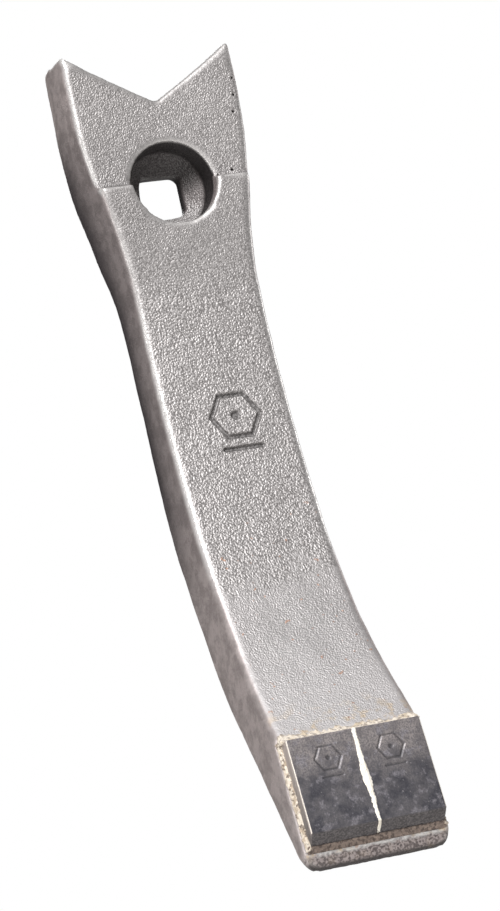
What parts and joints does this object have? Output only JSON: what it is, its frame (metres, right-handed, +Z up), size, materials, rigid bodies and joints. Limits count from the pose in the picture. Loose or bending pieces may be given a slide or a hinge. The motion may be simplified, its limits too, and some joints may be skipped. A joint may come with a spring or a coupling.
{
  "type": "carbide-tipped cultivator point",
  "caption": "Curved wearing point for a cultivator tine, with a notched head, a counterbored square bolt hole and carbide plates brazed on its bevelled tip.",
  "frame": {"origin": "bolt axis where it meets the flat rear seat against the tine leg", "axes": "+X across the width, +Y back into the tine leg along the bolt, +Z up the tine; the tip curves down and forward to -Y"},
  "size_m": [0.0732, 0.1007, 0.3306],
  "materials": {
    "forged_steel": "shot-blasted forged or cast steel, matt, fine grain",
    "tungsten_carbide": "sintered tungsten carbide, dark slate grey, matt, heat stained",
    "silver_braze": "silver brazing alloy, pale cream gold, uneven",
    "copper_core": "soft copper sheet, clean"
  },
  "bodies": {
    "root": {"point_body": "forged_steel", "carbide_tile_left": "tungsten_carbide", "carbide_tile_right": "tungsten_carbide", "centre_braze_seam": "silver_braze", "rear_braze_bead": "silver_braze", "front_braze_fillet": "silver_braze", "side_braze_fillet_left": "silver_braze", "side_braze_fillet_right": "silver_braze", "upper_braze_left": "silver_braze", "upper_braze_right": "silver_braze", "copper_shim_left": "copper_core", "copper_shim_right": "copper_core", "lower_braze_left": "silver_braze", "lower_braze_right": "silver_braze"}
  },
  "joints": []
}
